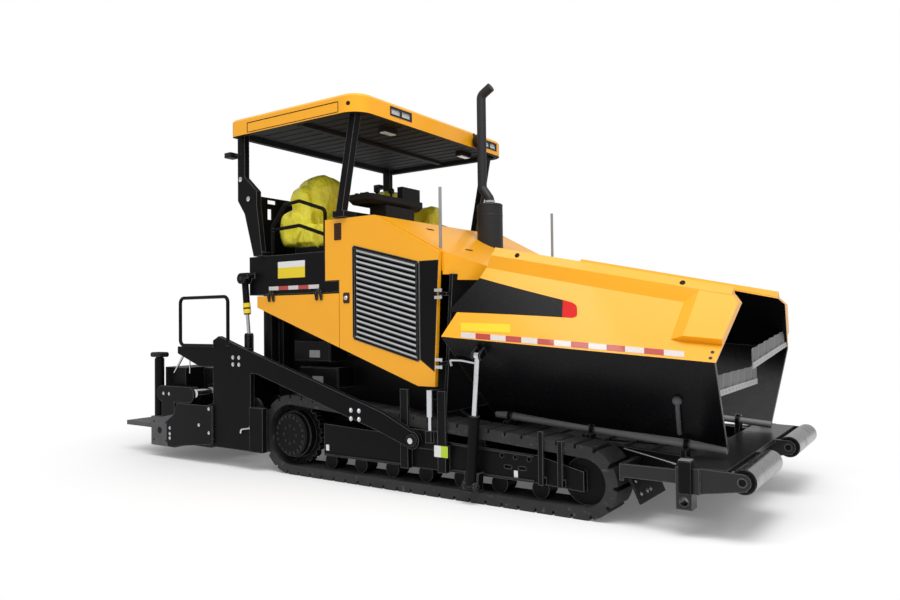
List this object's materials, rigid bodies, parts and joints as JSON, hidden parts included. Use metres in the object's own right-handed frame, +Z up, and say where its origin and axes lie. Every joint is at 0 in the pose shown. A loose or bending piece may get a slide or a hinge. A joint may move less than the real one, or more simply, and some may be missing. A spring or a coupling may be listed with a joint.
{
  "type": "tracked asphalt paver",
  "caption": "Tracked road paver with a folding hopper, canopied operator platform, louvred engine doors and a lifting, extending screed.",
  "frame": {"origin": "on the ground, under the middle of the machine's bounding box", "axes": "+X forward to the push rollers, +Y to the machine's left, +Z up"},
  "size_m": [6.95, 2.6, 3.9232],
  "materials": {
    "yellow_paint": "gloss orange-yellow paint",
    "wing_paint": "orange-yellow outside, black floor",
    "black_paint": "satin black paint",
    "track_steel": "blackened steel",
    "worn_steel": "dark worn steel",
    "engine_grey": "cast",
    "louvre_silver": "satin silver",
    "seat_cover": "lemon-yellow cover",
    "console_plastic": "matte black",
    "roof_lining": "matte charcoal",
    "exhaust_grey": "heat-proof charcoal",
    "lamp_glass": "lamp lenses in black frames",
    "apron_grey": "light-grey pleated sheet",
    "bright_steel": "bright plated"
  },
  "bodies": {
    "chassis": {"track_left": "track_steel", "track_right": "track_steel", "track_frame_left": "black_paint", "track_frame_right": "black_paint", "drive_sprocket_left": "black_paint", "drive_sprocket_right": "black_paint", "main_frame": "black_paint", "conveyor": "worn_steel", "hopper_back_wall": "black_paint", "side_boxes": "black_paint", "engine_block": "engine_grey", "engine_hood": "yellow_paint", "operator_platform": "black_paint", "seat_left": "seat_cover", "seat_right": "seat_cover", "control_console": "console_plastic", "platform_rails": "black_paint", "rear_guard": "black_paint", "roof_shell": "yellow_paint", "roof_liner": "roof_lining", "roof_lamps": "lamp_glass", "roof_posts": "black_paint", "exhaust_muffler": "exhaust_grey", "exhaust_pipe": "exhaust_grey", "sight_poles": "bright_steel", "front_beam": "black_paint", "levelling_barrels": "black_paint", "auger_case": "black_paint"},
    "push_roller_left": {"push_roller_left": "bright_steel"},
    "push_roller_right": {"push_roller_right": "bright_steel"},
    "wing_left": {"hopper_wing_left": "wing_paint", "hopper_apron_left": "apron_grey"},
    "wing_right": {"hopper_wing_right": "wing_paint", "hopper_apron_right": "apron_grey"},
    "hopper_barrel_left": {"hopper_barrel_left": "black_paint"},
    "hopper_barrel_right": {"hopper_barrel_right": "black_paint"},
    "hopper_rod_left": {"hopper_rod_left": "bright_steel"},
    "hopper_rod_right": {"hopper_rod_right": "bright_steel"},
    "door_left": {"engine_door_left": "yellow_paint", "door_louvre_left": "louvre_silver"},
    "door_right": {"engine_door_right": "yellow_paint", "door_louvre_right": "louvre_silver"},
    "flap_left": {"lower_flap_left": "yellow_paint"},
    "flap_right": {"lower_flap_right": "yellow_paint"},
    "tow_points": {"tow_points": "black_paint"},
    "screed": {"tow_arm_left": "black_paint", "tow_arm_right": "black_paint", "screed_base": "black_paint", "screed_rails": "black_paint"},
    "extension_left": {"screed_extension_left": "black_paint"},
    "extension_right": {"screed_extension_right": "black_paint"},
    "lift_barrels": {"lift_barrels": "black_paint"},
    "lift_rods": {"lift_rods": "bright_steel"},
    "auger_left": {"auger_left": "worn_steel"},
    "auger_right": {"auger_right": "worn_steel"}
  },
  "joints": [
    {"name": "push_roller_spin_left", "type": "hinge", "parent": "chassis", "child": "push_roller_left", "pos_m": [3.39, 0.77, 0.41], "axis": [0, 1, 0], "continuous": true},
    {"name": "wing_fold_left", "type": "hinge", "parent": "chassis", "child": "wing_left", "pos_m": [1.26, 0.75, 0.67], "axis": [-0.9974, 0, 0.0727], "range_deg": [0, 44]},
    {"name": "hopper_barrel_tilt_left", "type": "hinge", "parent": "chassis", "child": "hopper_barrel_left", "pos_m": [1.3, 1.242, 0.15], "axis": [-0.9974, 0, 0.0727], "range_deg": [0, 23]},
    {"name": "hopper_rod_stroke_left", "type": "slide", "parent": "hopper_barrel_left", "child": "hopper_rod_left", "axis": [0.0727, -0.0057, 0.9973], "range_m": [-0.445, 0.001]},
    {"name": "door_swing_left", "type": "hinge", "parent": "chassis", "child": "door_left", "pos_m": [0.968, 1.164, 1.4], "axis": [0, 0, -1], "range_deg": [0, 85]},
    {"name": "flap_lift_left", "type": "hinge", "parent": "chassis", "child": "flap_left", "pos_m": [-0.79, 1.17, 1.76], "axis": [1, 0, 0], "range_deg": [0, 80]},
    {"name": "auger_spin_left", "type": "hinge", "parent": "chassis", "child": "auger_left", "pos_m": [-1.59, 0.63, 0.48], "axis": [0, 1, 0], "continuous": true},
    {"name": "push_roller_spin_right", "type": "hinge", "parent": "chassis", "child": "push_roller_right", "pos_m": [3.39, -0.77, 0.41], "axis": [0, 1, 0], "continuous": true},
    {"name": "wing_fold_right", "type": "hinge", "parent": "chassis", "child": "wing_right", "pos_m": [1.26, -0.75, 0.67], "axis": [0.9974, 0, -0.0727], "range_deg": [0, 44]},
    {"name": "hopper_barrel_tilt_right", "type": "hinge", "parent": "chassis", "child": "hopper_barrel_right", "pos_m": [1.3, -1.242, 0.15], "axis": [0.9974, 0, -0.0727], "range_deg": [0, 23]},
    {"name": "hopper_rod_stroke_right", "type": "slide", "parent": "hopper_barrel_right", "child": "hopper_rod_right", "axis": [0.0727, 0.0057, 0.9973], "range_m": [-0.445, 0.001]},
    {"name": "door_swing_right", "type": "hinge", "parent": "chassis", "child": "door_right", "pos_m": [0.968, -1.164, 1.4], "axis": [0, 0, 1], "range_deg": [0, 85]},
    {"name": "flap_lift_right", "type": "hinge", "parent": "chassis", "child": "flap_right", "pos_m": [-0.79, -1.17, 1.76], "axis": [-1, 0, 0], "range_deg": [0, 80]},
    {"name": "auger_spin_right", "type": "hinge", "parent": "chassis", "child": "auger_right", "pos_m": [-1.59, -0.63, 0.48], "axis": [0, 1, 0], "continuous": true},
    {"name": "tow_point_level", "type": "slide", "parent": "chassis", "child": "tow_points", "axis": [0, 0, 1], "range_m": [-0.08, 0.08]},
    {"name": "screed_lift", "type": "hinge", "parent": "tow_points", "child": "screed", "pos_m": [0.73, 0, 0.47], "axis": [0, -1, 0], "range_deg": [-5, 1.6]},
    {"name": "extension_slide_left", "type": "slide", "parent": "screed", "child": "extension_left", "axis": [0, 1, 0], "range_m": [0, 1.15]},
    {"name": "extension_slide_right", "type": "slide", "parent": "screed", "child": "extension_right", "axis": [0, -1, 0], "range_m": [0, 1.15]},
    {"name": "lift_barrel_swing", "type": "hinge", "parent": "chassis", "child": "lift_barrels", "pos_m": [-1.47, 0, 1.93], "axis": [0, -1, 0], "range_deg": [-4.1, 12.6]},
    {"name": "lift_rod_stroke", "type": "slide", "parent": "lift_barrels", "child": "lift_rods", "axis": [0.102, 0, -0.9948], "range_m": [-0.165, 0.0535]}
  ],
  "couplings": [
    {"joint": "hopper_barrel_tilt_left", "follows": "wing_fold_left", "ratio": 0.5127},
    {"joint": "hopper_rod_stroke_left", "follows": "wing_fold_left", "m_per_rad": -0.5769},
    {"joint": "hopper_barrel_tilt_right", "follows": "wing_fold_right", "ratio": 0.5127},
    {"joint": "hopper_rod_stroke_right", "follows": "wing_fold_right", "m_per_rad": -0.5769},
    {"joint": "lift_barrel_swing", "follows": "screed_lift", "ratio": -2.5},
    {"joint": "lift_rod_stroke", "follows": "screed_lift", "m_per_rad": 1.87}
  ]
}
